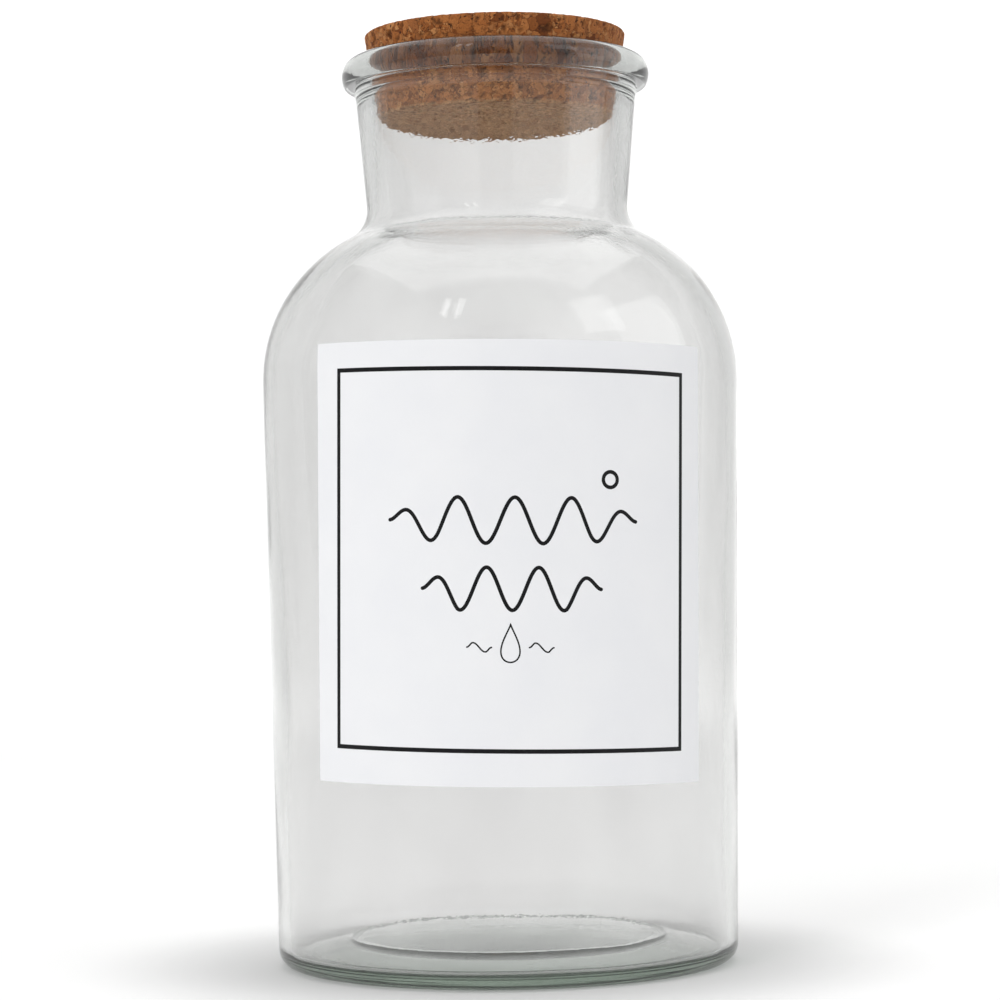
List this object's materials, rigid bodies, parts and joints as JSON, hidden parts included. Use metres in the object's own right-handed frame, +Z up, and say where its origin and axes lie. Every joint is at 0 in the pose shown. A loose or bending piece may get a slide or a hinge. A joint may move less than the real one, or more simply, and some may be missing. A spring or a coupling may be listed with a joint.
{
  "type": "stoppered glass storage bottle",
  "caption": "Round clear-glass storage bottle with a domed shoulder, flared neck and rolled lip, closed by a tapered agglomerated-cork bung, with a bordered paper front label.",
  "frame": {"origin": "centre of the base, on the plane the bottle stands on", "axes": "+Z up along the bottle's axis, -Y out of the middle of the front label, +X to the right of someone facing the label"},
  "size_m": [0.1246, 0.1248, 0.2432],
  "materials": {
    "bottle_glass": "clear recycled glass with a faint green cast, slightly wavy inside",
    "cork": "agglomerated cork, coarse granules, matt",
    "label_paper": "smooth white paper with a thin black border and a line emblem"
  },
  "bodies": {
    "bottle": {"glass_bottle": "bottle_glass", "front_label": "label_paper"},
    "stopper": {"cork_stopper": "cork"}
  },
  "joints": [
    {"name": "stopper_lift", "type": "slide", "parent": "bottle", "child": "stopper", "axis": [0, 0, 1], "range_m": [0, 0.06]}
  ]
}
